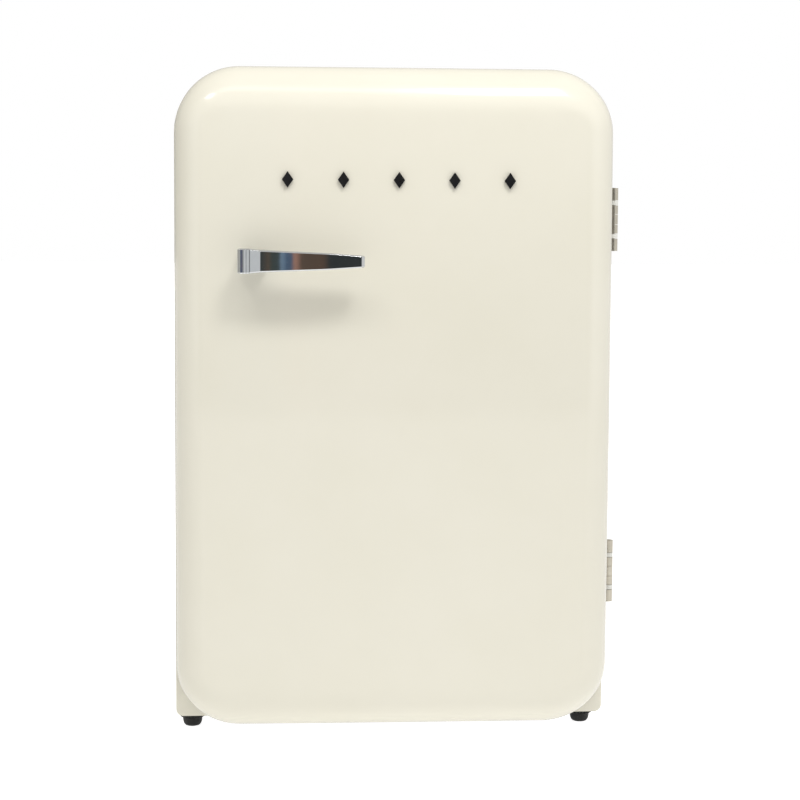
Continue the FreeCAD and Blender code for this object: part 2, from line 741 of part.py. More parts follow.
def lamp_bulb():
    """Small lamp in its holder, lying along the housing."""
    at = V(203.0, 18.0, KNOB_Z)
    holder_l = 16.0
    glass_at = 40.0
    glass = Part.makeSphere(10.0, at + V(0, glass_at, 0))
    neck = rod(7.0, at + V(0, holder_l, 0), at + V(0, glass_at - 2, 0))
    holder = rod(9.0, at, at + V(0, holder_l, 0))
    return fused([glass, neck, holder])


def thermostat_body():
    """Switch body that the dial's shaft turns in."""
    half_z = 16.0
    bush_r = 6.0
    body_at = 10.0
    body = block((HOUSING_X[0] + body_at, HOUSING_X[0] + 40), (KNOB_Y - 20, KNOB_Y + 22),
                 (KNOB_Z - half_z, KNOB_Z + half_z))
    bush = along_shaft(bush_r, 3, body_at)
    return fused([body, bush]).cut(along_shaft(KNOB_SHAFT_R + TURNING_FIT, 2, KNOB_SHAFT_L + NEAR))


def lamp_switch_body():
    """Push switch on the right wall, worked by the door."""
    floor_t = 5.0
    return block(SWITCH_X, SWITCH_Y, SWITCH_Z).cut(
        along_plunger(PLUNGER_R + TURNING_FIT, SWITCH_Y[0] - NEAR, SWITCH_Y[1] - floor_t))


def along_plunger(radius, front_y, back_y):
    """Rod on the button's line, which meets the middle of the door's right-hand moulding."""
    x = sum(DYKE_X) / 2
    z = sum(SWITCH_Z) / 2
    return rod(radius, V(x, front_y, z), V(x, back_y, z))


def lamp_switch_plunger():
    """Button that the door's moulding holds in."""
    door_gap = 0.3
    return along_plunger(PLUNGER_R, DYKE_BACK_Y + door_gap, SWITCH_Y[1] - 10)


def thermostat_knob():
    """Dial with a grip bar and a shaft."""
    gap = 0.4
    disc_t = 5.0
    grip_reach = (8.0, 3.0, 15.0)
    face_x = HOUSING_X[0] - gap - disc_t
    grip = block((face_x - grip_reach[0], face_x), (KNOB_Y - grip_reach[1], KNOB_Y + grip_reach[1]),
                 (KNOB_Z - grip_reach[2], KNOB_Z + grip_reach[2]))
    disc = along_shaft(17.0, -gap - disc_t, -gap)
    return fused([disc, grip, along_shaft(KNOB_SHAFT_R, -gap, KNOB_SHAFT_L)])


def drip_tray():
    """Shallow tray under the ice box, hung by its side flanges on the lining's ribs."""
    wall = 1.6
    half_w = 215.0
    y = (-88.0, 210.0)
    low = 613.0
    rim = (TRAY_RIB_Z + SLIDE_GAP, TRAY_RIB_Z + SLIDE_GAP + 2)
    pan = block((-half_w, half_w), y, (low, rim[1]))
    rails = [side_block(side, (half_w - NEAR, half_w + 9), y, rim) for side in SIDES]
    pull = block((-60.0, 60.0), (y[0] - 8, y[0]), (rim[0] - 6, rim[0] - 4))
    room = block((-half_w + wall, half_w - wall), (y[0] + wall, y[1] - wall), (low + wall, rim[1]))
    return fused([pan, pull] + rails).cut(room)


def crisper_drawer():
    """Clear drawer with a taller front and a finger lip."""
    wall = 2.2
    half_w = 215.0
    y = (-88.0, STEP_Y - 8)
    z = (CAVITY_FLOOR_Z + RUNNER_H + SLIDE_GAP, 236.0)
    side_top = z[1] - 14
    low_r = 30.0

    def trough(inset, y, z):
        shape = block((-half_w + inset, half_w - inset), y, z)
        low = [edge for edge in shape.Edges
               if edge.BoundBox.YLength > NEAR and edge.BoundBox.ZMax < z[0] + NEAR]
        return shape.makeFillet(low_r - inset, low)

    tub = trough(0, y, (z[0], side_top))
    front = trough(0, (y[0] - 3, y[0] + wall), z)
    lip = block((-90.0, 90.0), (y[0] - 13, y[0] - 3), (z[1] - 12, z[1] - 9))
    room = trough(wall, (y[0] + wall, y[1] - wall), (z[0] + wall, z[1] + wall))
    return fused([tub, front, lip]).cut(room)


def ice_box_door():
    """Flap of the ice box, with pins at its right-hand edge and a finger grip."""
    x, y = FLAP_AXIS
    low, high = FLAP_Z
    barrel_r = 4.0
    plate = block((-199.0, x), (y - 1, y + 4.5), FLAP_Z)
    barrel = rod(barrel_r, V(x, y, low), V(x, y, high))
    pins = rod(FLAP_PIN_R, V(x, y, low - FLAP_PIN_L), V(x, y, high + FLAP_PIN_L))
    grip = block((-189.0, -181.0), (y - 14, y), (692.0, 742.0))
    return fused([plate, barrel, pins, grip])


# ---------------------------------------------------------------- hinges


def knuckle_spans():
    """Bottom-to-top (low, high, piece) of one barrel about its middle."""
    spans = []
    z = -HINGE_H / 2
    middle = HINGE_H - 2 * (END_KNUCKLE + WASHER_H + DOOR_KNUCKLE)
    order = [(END_KNUCKLE, "cabinet"), (WASHER_H, "washer"), (DOOR_KNUCKLE, "door"), (middle, "cabinet"),
             (DOOR_KNUCKLE, "door"), (WASHER_H, "washer"), (END_KNUCKLE, "cabinet")]
    for height, piece in order:
        spans.append((z + KNUCKLE_GAP / 2, z + height - KNUCKLE_GAP / 2, piece))
        z += height
    return spans


def barrel_rings(mid_z, piece):
    return [sleeve(BARREL_R, PIN_R + TURNING_FIT, V(HINGE_X, HINGE_Y, mid_z + low),
                   V(HINGE_X, HINGE_Y, mid_z + high))
            for low, high, owner in knuckle_spans() if owner == piece]


def hinge_leaf(mid_z, piece, leaf_x, length, screws):
    """Plate against leaf_x with its own knuckles, running back on the cabinet and forward on the door."""
    direction = 1 if piece == "cabinet" else -1

    def along(near, far):
        return tuple(sorted((HINGE_Y + direction * near, HINGE_Y + direction * far)))

    x = (leaf_x, leaf_x + LEAF_T)
    plate = block(x, along(LEAF_CLEAR, length), (mid_z - HINGE_H / 2, mid_z + HINGE_H / 2))
    webs = [block(x, along(0, LEAF_CLEAR), (mid_z + low, mid_z + high))
            for low, high, owner in knuckle_spans() if owner == piece]
    leaf = fused([plate] + webs + barrel_rings(mid_z, piece))
    ends = [V(HINGE_X, HINGE_Y, mid_z + side * HINGE_H) for side in SIDES]
    bore = rod(PIN_R + TURNING_FIT, *ends)
    return cut_all(leaf, [bore] + screws)


def cabinet_leaf(name):
    return hinge_leaf(HINGE_MIDS[name], "cabinet", HALF_W, CABINET_LEAF_END, cabinet_hinge_screws(False))


def door_leaf(name):
    return hinge_leaf(HINGE_MIDS[name], "door", DOOR_HALF_W, DOOR_LEAF_END, door_hinge_screws(False))


def hinge_pins():
    """Two plain pins, pressed in flush with the ends of their barrels."""
    return group([rod(PIN_R, *[V(HINGE_X, HINGE_Y, mid + side * HINGE_H / 2) for side in SIDES])
                  for mid in HINGE_MIDS.values()])


def hinge_washers():
    """White bearing washers between the knuckles."""
    return group([ring for mid in HINGE_MIDS.values() for ring in barrel_rings(mid, "washer")])


# ---------------------------------------------------------------- door


def crowned_block(apex_y):
    """Block a little larger than the door, whose front is a shallow dish with its apex at apex_y."""
    margin = 5.0
    reach_x = DOOR_HALF_W + margin
    reach_z = HEIGHT - DOOR_MID_Z + margin
    rise_x = reach_x ** 2 / (2 * CROWN_R)
    rise_z = reach_z ** 2 / (2 * CROWN_R)
    dish = Part.BezierSurface()
    dish.increase(2, 2)
    for i, across in enumerate((-1, 0, 1), 1):
        for j, up in enumerate((-1, 0, 1), 1):
            y = apex_y + (rise_x if across else -rise_x) + (rise_z if up else -rise_z)
            dish.setPole(i, j, V(across * reach_x, y, DOOR_MID_Z + up * reach_z))
    return dish.toShape().extrude(V(0, DOOR_BACK_Y - DOOR_APEX_Y + margin, 0))


def door_block(inset):
    """The door's outer form, shrunk by inset: crowned face, rounded edges, flat back."""
    z = (DOOR_LOW_Z + inset, HEIGHT - inset)
    radius = CORNER_R - inset
    form = slab(DOOR_HALF_W - inset, z, radius, radius, (DOOR_APEX_Y - 1, DOOR_BACK_Y + inset))
    form = form.common(crowned_block(DOOR_APEX_Y + inset))
    face_y = DOOR_APEX_Y + DOOR_EDGE_R / 2
    rim = [edge for edge in form.Edges if edge.BoundBox.YMax < face_y]
    return form.makeFillet(DOOR_EDGE_R - inset, rim)


def behind(y):
    """Everything behind the plane y, to trim with."""
    return block((-WIDTH, WIDTH), (y, BACK_Y), (0, HEIGHT + WIDTH))


def door_outer_skin():
    """Painted steel dish, open at the back."""
    skin = door_block(0).cut(door_block(SKIN_T))
    return cut_all(skin, door_hinge_screws(False))


def dykes(shrink):
    """The two upright mouldings behind the door that hold the racks."""
    z = (DYKE_Z[0] + shrink, DYKE_Z[1] - shrink)
    x = (DYKE_X[0] + shrink, DYKE_X[1] - shrink)
    return [side_block(side, x, (DOOR_BACK_Y - LINER_T, DYKE_BACK_Y - shrink), z) for side in SIDES]


def door_inner_liner():
    """White moulded back of the door."""
    y = (DOOR_BACK_Y - LINER_T, DOOR_BACK_Y)
    z = (DOOR_LOW_Z + SKIN_T, HEIGHT - SKIN_T)
    radius = CORNER_R - SKIN_T
    sheet = slab(DOOR_HALF_W - SKIN_T, z, radius, radius, y)
    return cut_all(fused([sheet] + dykes(0)), dykes(LINER_T))


def door_foam():
    """Rigid foam that fills the door and its mouldings."""
    foam = door_block(SKIN_T).cut(behind(DOOR_BACK_Y - LINER_T))
    return cut_all(fused([foam] + dykes(LINER_T)), door_hinge_screws(False))


def door_gasket():
    """Magnetic seal around the back of the door."""
    y = (DOOR_BACK_Y, FRONT_Y - GASKET_GAP)
    return opening_block(GASKET_INSET, y).cut(opening_block(GASKET_INSET + GASKET_W, y))


def handle_post():
    """Tapered foot that carries the lever off the door."""
    sunk = 4.0

    def ring(x, half_z, y):
        corners = [(x[0], -half_z), (x[1], -half_z), (x[1], half_z), (x[0], half_z), (x[0], -half_z)]
        return Part.makePolygon([V(px, y, HANDLE_Z + dz) for px, dz in corners])

    root = ring((-194, -158), 14, DOOR_APEX_Y + sunk)
    head = ring((-191, -163), 11, HANDLE_BACK_Y)
    return Part.makeLoft([root, head], True, True).cut(door_block(0))


def handle_lever():
    """Flat-faced bar, tallest at its left end, that tapers to a blunt tip."""
    end_x, tip_x = HANDLE_END_X, HANDLE_TIP_X
    plan = [(end_x, HANDLE_BACK_Y), (end_x, -311), (-191, -313), (-189, -310.5), (-180, -311.5),
            (-169, HANDLE_FACE_Y), (-105, -316.4), (-46, -312), (tip_x, -309.5), (tip_x, -304),
            (-46, HANDLE_BACK_Y)]
    front = [(end_x, -15.4), (end_x, 15.4), (-169, 13.8), (tip_x, 6.4), (tip_x, -6.4), (-169, -13.8)]
    reach = 20.0
    base = Part.Face(Part.makePolygon([V(x, y, HANDLE_Z - reach) for x, y in plan + plan[:1]]))
    outline = Part.Face(Part.makePolygon([V(x, HANDLE_FACE_Y - NEAR, HANDLE_Z + dz)
                                          for x, dz in front + front[:1]]))
    return base.extrude(V(0, 0, 2 * reach)).common(outline.extrude(V(0, reach, 0)))


def badge_studs():
    """Row of plain lozenges set on the door's face."""
    half_w = 7.0
    half_h = 10.0
    proud = 1.6
    door = door_block(0)
    parts = []
    for k in range(BADGE_COUNT):
        x = BADGE_X + (k - (BADGE_COUNT - 1) / 2) * BADGE_PITCH
        corners = [(x - half_w, 0), (x, half_h), (x + half_w, 0), (x, -half_h)]
        points = [V(px, DOOR_APEX_Y - proud, BADGE_Z + dz) for px, dz in corners + corners[:1]]
        stud = Part.Face(Part.makePolygon(points)).extrude(V(0, 6, 0))
        parts.append(stud.cut(door))
    return group(parts)


def door_rack(name):
    """Bottle or can rack: a trough that hangs between the door's mouldings."""
    low, high = RACKS[name]["z"]
    gap = 0.2
    corner_r = 10.0
    y = (DOOR_BACK_Y + gap, RACKS[name]["back_y"])

    def tub(inset, low):
        shape = block((-RACK_HALF_W + inset, RACK_HALF_W - inset), (y[0] + inset, y[1] - inset), (low, high))
        upright = [edge for edge in shape.Edges
                   if edge.BoundBox.ZLength > NEAR and edge.BoundBox.YMin > y[1] - inset - NEAR]
        return shape.makeFillet(corner_r - inset, upright)

    return tub(0, low).cut(tub(RACK_T, low + RACK_T))


# ---------------------------------------------------------------- feet and rollers


def front_foot(side):
    """Ribbed levelling foot on a threaded stud; the thread is left plain."""
    at = mirrored(FOOT_AT, side)
    rim_r = 16.0
    rim_z = 12.5
    profile = [(0, 0), (7.5, 0), (9.5, 0.8), (11.3, 3), (12.4, 6.5), (12.8, 10.5), (rim_r, rim_z),
               (rim_r, FOOT_TOP_Z), (STUD_R, FOOT_TOP_Z), (STUD_R, STUD_TOP_Z), (0, STUD_TOP_Z)]
    foot = turned(profile, at)
    notches = 24
    notch_r = 0.9
    for k in range(notches):
        angle = 2 * math.pi * k / notches
        spot = at + V(rim_r * math.cos(angle), rim_r * math.sin(angle), rim_z)
        foot = foot.cut(rod(notch_r, spot, spot + V(0, 0, FOOT_TOP_Z - rim_z)))
    return foot


def axle_ends(side):
    half_l = 12.0
    return [mirrored(ROLLER_AT, side) + V(end * half_l, 0, 0) for end in SIDES]


def roller_axles():
    return group([rod(AXLE_R, *axle_ends(side)) for side in SIDES])


def roller_brackets():
    """Pairs of cheeks under the base plate, with out-turned feet."""
    t = 1.5
    half_y = 9.0
    reach = 11.0
    tab_l = 8.0
    y = (ROLLER_AT.y - half_y, ROLLER_AT.y + half_y)
    top = BASE_LOW_Z
    parts = []
    for side in SIDES:
        for near in (ROLLER_AT.x - reach, ROLLER_AT.x + reach - t):
            cheek = side_block(side, (near, near + t), y, (7.0, top))
            outward = (near - tab_l, near + t) if near < ROLLER_AT.x else (near, near + t + tab_l)
            tab = side_block(side, outward, y, (top - t, top))
            parts.append(fused([cheek, tab]).cut(rod(AXLE_R, *axle_ends(side))))
    return group(parts)


def rear_roller(side):
    """Grooved plastic wheel."""
    ends = [mirrored(ROLLER_AT, side) + V(step * ROLLER_HALF_W, 0, 0) for step in SIDES]
    wheel = sleeve(ROLLER_R, AXLE_R + TURNING_FIT, ends[0], ends[1])
    rims = [edge for edge in wheel.Edges
            if edge.BoundBox.ZLength > ROLLER_R and edge.BoundBox.XLength < NEAR]
    return wheel.makeChamfer(1.5, rims)


NODES = {
    "outer_wrap": outer_wrap,
    "back_panel": back_panel,
    "bottom_pan": bottom_pan,
    "inner_liner": inner_liner,
    "cabinet_foam": cabinet_foam,
    "front_foot_sockets": front_foot_sockets,
    "compressor_base_plate": compressor_base_plate,
    "wall_spacers": wall_spacers,
    "cord_inlet": cord_inlet,
    "cabinet_screws": lambda: group(back_panel_screws(True)),
    "compressor": compressor,
    "compressor_mounts": compressor_mounts,
    "start_relay_cover": start_relay_cover,
    "evaporation_tray": evaporation_tray,
    "drain_hose": drain_hose,
    "condenser_tube": condenser_tube,
    "condenser_wires": condenser_wires,
    "condenser_brackets": condenser_brackets,
    "refrigerant_pipes": refrigerant_pipes,
    "filter_drier": filter_drier,
    "evaporator_box": evaporator_box,
    "ice_box_frame": ice_box_frame,
    "upper_shelf_glass": upper_shelf_glass,
    "lower_shelf_glass": lower_shelf_glass,
    "crisper_cover_glass": crisper_cover_glass,
    "shelf_trims": shelf_trims,
    "control_housing": control_housing,
    "lamp_cover": lamp_cover,
    "lamp_bulb": lamp_bulb,
    "thermostat_body": thermostat_body,
    "lamp_switch_body": lamp_switch_body,
    "lamp_switch_plunger": lamp_switch_plunger,
    "thermostat_knob": thermostat_knob,
    "drip_tray": drip_tray,
    "crisper_drawer": crisper_drawer,
    "ice_box_door": ice_box_door,
    "upper_hinge_cabinet_leaf": lambda: cabinet_leaf("upper"),
    "lower_hinge_cabinet_leaf": lambda: cabinet_leaf("lower"),
    "upper_hinge_door_leaf": lambda: door_leaf("upper"),
    "lower_hinge_door_leaf": lambda: door_leaf("lower"),
    "hinge_pins": hinge_pins,
    "hinge_washers": hinge_washers,
    "hinge_screws_cabinet": lambda: group(cabinet_hinge_screws(True)),
    "hinge_screws_door": lambda: group(door_hinge_screws(True)),
    "door_outer_skin": door_outer_skin,
    "door_foam": door_foam,
    "door_inner_liner": door_inner_liner,
    "door_gasket": door_gasket,
    "handle_post": handle_post,
    "handle_lever": handle_lever,
    "badge_studs": badge_studs,
    "upper_door_rack": lambda: door_rack("upper"),
    "middle_door_rack": lambda: door_rack("middle"),
    "bottom_door_rack": lambda: door_rack("bottom"),
    "front_left_foot": lambda: front_foot(-1),
    "front_right_foot": lambda: front_foot(1),
    "roller_axles": roller_axles,
    "roller_brackets": roller_brackets,
    "rear_left_roller": lambda: rear_roller(-1),
    "rear_right_roller": lambda: rear_roller(1),
}

os.makedirs("parts", exist_ok=True)
for name, make in NODES.items():
    make().exportStep("parts/" + name + ".step")
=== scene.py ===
import json
import math

import bmesh
import bpy
from mathutils import Matrix, Vector


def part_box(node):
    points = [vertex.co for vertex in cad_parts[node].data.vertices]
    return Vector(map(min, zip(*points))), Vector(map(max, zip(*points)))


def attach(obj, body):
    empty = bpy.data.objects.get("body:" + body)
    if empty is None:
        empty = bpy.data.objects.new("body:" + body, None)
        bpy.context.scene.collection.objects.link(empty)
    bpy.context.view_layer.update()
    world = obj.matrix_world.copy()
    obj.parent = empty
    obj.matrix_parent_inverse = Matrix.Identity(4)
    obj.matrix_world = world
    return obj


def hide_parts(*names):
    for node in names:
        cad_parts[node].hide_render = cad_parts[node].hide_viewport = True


MM = 0.001

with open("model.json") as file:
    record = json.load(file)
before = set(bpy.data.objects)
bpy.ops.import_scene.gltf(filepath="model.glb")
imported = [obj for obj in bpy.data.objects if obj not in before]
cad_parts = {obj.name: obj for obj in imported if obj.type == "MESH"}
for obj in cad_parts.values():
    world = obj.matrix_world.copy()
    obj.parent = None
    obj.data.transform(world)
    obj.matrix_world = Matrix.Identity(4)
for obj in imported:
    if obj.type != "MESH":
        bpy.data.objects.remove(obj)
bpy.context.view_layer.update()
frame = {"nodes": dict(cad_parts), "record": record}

# Places read from the frame
DOOR_LOW, DOOR_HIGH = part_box("door_outer_skin")
DOOR_HALF_W = DOOR_HIGH.x
DOOR_MID_Z = (DOOR_LOW.z + DOOR_HIGH.z) / 2
DOOR_BACK_Y = DOOR_HIGH.y
DOOR_APEX_Y = DOOR_LOW.y

# Sizes of the door's form
CORNER_R = 80 * MM
CROWN_R = 17000 * MM
SIDE_ROUND = Vector((36, 34)) * MM  # how far the edge rounding runs across the face, and back
END_ROUND = Vector((60, 46)) * MM
SKIN_T = 1.2 * MM


# ---------------------------------------------------------------- node trees


class Nodes:
    """Small helper for building the node tree of a material or of the world."""

    def __init__(self, owner):
        owner.use_nodes = True
        self.owner = owner
        self.tree = owner.node_tree

    def add(self, kind, **values):
        node = self.tree.nodes.new(kind)
        for key, value in values.items():
            setattr(node, key, value)
        return node

    def link(self, output, target):
        self.tree.links.new(output, target)

    def ranged(self, value, start, end, low=0.0, high=1.0, kind="LINEAR"):
        """Maps start to end onto low to high."""
        node = self.add("ShaderNodeMapRange", interpolation_type=kind)
        for name, number in (("From Min", start), ("From Max", end), ("To Min", low), ("To Max", high)):
            node.inputs[name].default_value = number
        self.link(value, node.inputs["Value"])
        return node.outputs["Result"]

    def mix(self, factor, first, second):
        """Blend of two colours, each a colour or a socket."""
        node = self.add("ShaderNodeMix", data_type="RGBA")
        self.link(factor, node.inputs["Factor"])
        for socket, value in ((node.inputs[6], first), (node.inputs[7], second)):
            if isinstance(value, bpy.types.NodeSocket):
                self.link(value, socket)
            else:
                socket.default_value = value
        return node.outputs[2]

    def seen_by_camera(self):
        return self.add("ShaderNodeLightPath").outputs["Is Camera Ray"]


class Finish(Nodes):
    """Node tree of one material."""

    def __init__(self, name):
        super().__init__(bpy.data.materials.new(name))
        self.shader = self.tree.nodes["Principled BSDF"]
        self.place = self.add("ShaderNodeTexCoord").outputs["Object"]

    def stretched(self, scale):
        mapping = self.add("ShaderNodeMapping")
        mapping.inputs["Scale"].default_value = scale
        self.link(self.place, mapping.inputs["Vector"])
        return mapping.outputs["Vector"]

    def noise(self, scale, detail=3.0, stretch=(1, 1, 1)):
        """Noise with about `scale` features in each metre."""
        node = self.add("ShaderNodeTexNoise")
        node.inputs["Scale"].default_value = scale
        node.inputs["Detail"].default_value = detail
        self.link(self.stretched(stretch), node.inputs["Vector"])
        return node.outputs["Fac"]

    def spread(self, value, low, high):
        """Maps the middle of a noise to the range low to high."""
        return self.ranged(value, 0.3, 0.7, low, high)

    def bump(self, height, distance):
        node = self.add("ShaderNodeBump")
        node.inputs["Distance"].default_value = distance
        self.link(height, node.inputs["Height"])
        self.link(node.outputs["Normal"], self.shader.inputs["Normal"])

    def set(self, **values):
        for key, value in values.items():
            self.shader.inputs[key.replace("_", " ")].default_value = value


# ---------------------------------------------------------------- materials


def rgb(red, green, blue):
    """Linear colour from 0-255 screen values."""
    return tuple(((c / 255 + 0.055) / 1.055) ** 2.4 if c > 10 else c / 255 / 12.92
                 for c in (red, green, blue)) + (1.0,)


def worked(name, colour, shade, roughness, grain, depth, stretch=(1, 1, 1), blotch=9.0, **sockets):
    """Finished surface: two close colours in soft blotches, with a grain in roughness and bump."""
    n = Finish(name)
    n.link(n.mix(n.spread(n.noise(blotch), 0.0, 1.0), colour, shade), n.shader.inputs["Base Color"])
    fine = n.noise(grain, 4.0, stretch)
    n.link(n.spread(fine, *roughness), n.shader.inputs["Roughness"])
    n.bump(fine, depth)
    n.set(**sockets)
    return n.owner


def cream_paint():
    return worked("cream_gloss_paint", rgb(236, 233, 219), rgb(238, 235, 222), roughness=(0.16, 0.22),
                  grain=260, depth=0.02 * MM, Coat_Weight=0.6, Coat_Roughness=0.05)


def chrome():
    return worked("chrome_plate", rgb(222, 224, 226), rgb(214, 217, 220), roughness=(0.03, 0.06),
                  grain=60, depth=0.01 * MM, blotch=40, Metallic=1.0)


def satin_nickel():
    return worked("satin_nickel", rgb(214, 208, 194), rgb(200, 194, 180), roughness=(0.24, 0.36),
                  grain=1500, depth=0.02 * MM, stretch=(1, 1, 0.08), blotch=60, Metallic=1.0)


def zinc_sheet():
    """Galvanised sheet with its crystals."""
    crystals_per_metre = 130.0
    n = Finish("zinc_sheet")
    cells = n.add("ShaderNodeTexVoronoi")
    cells.inputs["Scale"].default_value = crystals_per_metre
    n.link(n.place, cells.inputs["Vector"])
    tone = n.add("ShaderNodeSeparateColor")
    n.link(cells.outputs["Color"], tone.inputs["Color"])
    shade = n.mix(tone.outputs["Red"], rgb(150, 153, 156), rgb(182, 184, 186))
    n.link(shade, n.shader.inputs["Base Color"])
    n.link(n.spread(n.noise(300), 0.34, 0.5), n.shader.inputs["Roughness"])
    n.bump(n.noise(500), 0.02 * MM)
    n.set(Metallic=0.9)
    return n.owner


def white_moulding():
    return worked("white_moulding", rgb(238, 239, 236), rgb(231, 233, 230), roughness=(0.26, 0.36),
                  grain=1100, depth=0.03 * MM)


def foam():
    return worked("insulation_foam", rgb(224, 208, 150), rgb(204, 186, 126), roughness=(0.85, 0.95),
                  grain=500, depth=0.6 * MM, blotch=60)


def black_enamel():
    return worked("black_enamel", rgb(26, 26, 27), rgb(34, 34, 35), roughness=(0.28, 0.42),
                  grain=700, depth=0.06 * MM, blotch=30)


def copper():
    return worked("copper", rgb(202, 126, 90), rgb(150, 84, 58), roughness=(0.24, 0.42),
                  grain=400, depth=0.02 * MM, blotch=35, Metallic=1.0)


def rolled_aluminium():
    return worked("rolled_aluminium", rgb(206, 209, 212), rgb(188, 192, 196), roughness=(0.28, 0.42),
                  grain=900, depth=0.03 * MM, stretch=(0.06, 1, 1), blotch=14, Metallic=1.0)


def shelf_glass():
    return worked("shelf_glass", rgb(243, 251, 247), rgb(238, 248, 244), roughness=(0.02, 0.05),
                  grain=60, depth=0.002 * MM, Transmission_Weight=1.0, IOR=1.5)


def clear_plastic():
    return worked("clear_plastic", rgb(246, 250, 251), rgb(241, 246, 248), roughness=(0.05, 0.12),
                  grain=300, depth=0.01 * MM, Transmission_Weight=0.9, IOR=1.46)


def lamp_glass():
    return worked("lamp_glass", rgb(250, 244, 226), rgb(244, 236, 214), roughness=(0.2, 0.3),
                  grain=500, depth=0.02 * MM, Transmission_Weight=0.7, IOR=1.45)


def seal_rubber():
    return worked("seal_rubber", rgb(222, 220, 212), rgb(208, 205, 196), roughness=(0.5, 0.64),
                  grain=900, depth=0.06 * MM)


def black_rubber():
    return worked("black_rubber", rgb(15, 15, 15), rgb(23, 23, 23), roughness=(0.6, 0.78),
                  grain=700, depth=0.12 * MM, blotch=50)


def black_plastic():
    return worked("black_plastic", rgb(14, 14, 14), rgb(21, 21, 21), roughness=(0.42, 0.56),
                  grain=1200, depth=0.05 * MM, blotch=50)


def nylon():
    return worked("white_nylon", rgb(240, 240, 236), rgb(228, 228, 222), roughness=(0.34, 0.46),
                  grain=800, depth=0.03 * MM)


def zinc_screw():
    return worked("zinc_plated_steel", rgb(198, 200, 198), rgb(178, 180, 174), roughness=(0.24, 0.4),
                  grain=1400, depth=0.02 * MM, blotch=120, Metallic=1.0)


def badge_dark():
    return worked("dark_enamel", rgb(34, 35, 37), rgb(44, 45, 47), roughness=(0.14, 0.24),
                  grain=900, depth=0.02 * MM, blotch=60, Metallic=0.4)


MATERIALS = {
    "cream_paint": cream_paint(),
    "zinc_sheet": zinc_sheet(),
    "white_moulding": white_moulding(),
    "insulation_foam": foam(),
    "black_enamel": black_enamel(),
    "copper": copper(),
    "evaporator_aluminium": rolled_aluminium(),
    "shelf_glass": shelf_glass(),
    "clear_plastic": clear_plastic(),
    "lamp_glass": lamp_glass(),
    "seal_rubber": seal_rubber(),
    "black_rubber": black_rubber(),
    "black_plastic": black_plastic(),
    "chrome_plate": chrome(),
    "satin_nickel": satin_nickel(),
    "nylon": nylon(),
    "zinc_screw": zinc_screw(),
    "badge_dark": badge_dark(),
}


def dress_frame():
    """Gives each CAD node the finish of its slot in the record."""
    for part in frame["record"]["subparts"]:
        node = frame["nodes"][part["node"]]
        node.data.materials.clear()
        node.data.materials.append(MATERIALS[part["material_slot"]])


# ---------------------------------------------------------------- mesh helpers


def piece(name, points, faces, slot, body):
    """Smooth object made of points and faces, which rides the body."""
    mesh = bpy.data.meshes.new(name)
    mesh.from_pydata([tuple(p) for p in points], [], faces)
    shape = bmesh.new()
    shape.from_mesh(mesh)
    bmesh.ops.recalc_face_normals(shape, faces=shape.faces)
    shape.to_mesh(mesh)
    shape.free()
    mesh.polygons.foreach_set("use_smooth", [True] * len(mesh.polygons))
    obj = bpy.data.objects.new(name, mesh)
    bpy.context.scene.collection.objects.link(obj)
    mesh.materials.append(MATERIALS[slot])
    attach(obj, body)
    return obj


def bevel(obj, width, angle):
    """Small rounding on edges that are sharper than the angle, in degrees."""
    modifier = obj.modifiers.new("edges", "BEVEL")
    modifier.width = width
    modifier.segments = 2
    modifier.limit_method = "ANGLE"
    modifier.angle_limit = math.radians(angle)
    modifier.harden_normals = True


def arc(middle, radius, start, sweep, steps):
    """Points on an arc, with both ends, as (first coordinate, second coordinate). Angles in degrees."""
    turns = [math.radians(start + sweep * i / steps) for i in range(steps + 1)]
    return [(middle[0] + radius * math.cos(turn), middle[1] + radius * math.sin(turn)) for turn in turns]


def round_outline(half_w, low_z, high_z, radius):
    """Points round an upright rounded rectangle, as (x, z, outward x, outward z)."""
    arc_steps = 22
    side_steps = 20
    end_steps = 14
    corners = [
        (half_w - radius, low_z + radius, -90, side_steps),
        (half_w - radius, high_z - radius, 0, end_steps),
        (-half_w + radius, high_z - radius, 90, side_steps),
        (-half_w + radius, low_z + radius, 180, end_steps),
    ]
    points = []
    for k, (cx, cz, start, steps) in enumerate(corners):
        for ox, oz in arc((0, 0), 1, start, 90, arc_steps):
            points.append((cx + radius * ox, cz + radius * oz, ox, oz))
        next_x, next_z = corners[(k + 1) % 4][:2]
        x0, z0, ox, oz = points[-1]
        x1 = next_x + radius * ox
        z1 = next_z + radius * oz
        for i in range(1, steps):
            t = i / steps
            points.append((x0 + (x1 - x0) * t, z0 + (z1 - z0) * t, ox, oz))
    return points


def stitched(ring_count, count, closed=False):
    """Quads between neighbouring rings of `count` points, and from the last to the first if closed."""
    faces = []
    for k in range(ring_count if closed else ring_count - 1):
        one = k * count
        other = (k + 1) % ring_count * count
        for i in range(count):
            j = (i + 1) % count
            faces.append((one + i, one + j, other + j, other + i))
    return faces


def ringed(name, rings, slot, body, closed=False):
    """Piece with its skin over equal rings of points, which has flat ends unless it is closed."""
    count = len(rings[0])
    points = [point for ring in rings for point in ring]
    faces = stitched(len(rings), count, closed)
    if not closed:
        faces += [tuple(range(count)), tuple(range(len(points) - count, len(points)))]
    return piece(name, points, faces, slot, body)


# ---------------------------------------------------------------- door


def crown_y(x, z):
    return DOOR_APEX_Y + (x * x + (z - DOOR_MID_Z) ** 2) / (2 * CROWN_R)


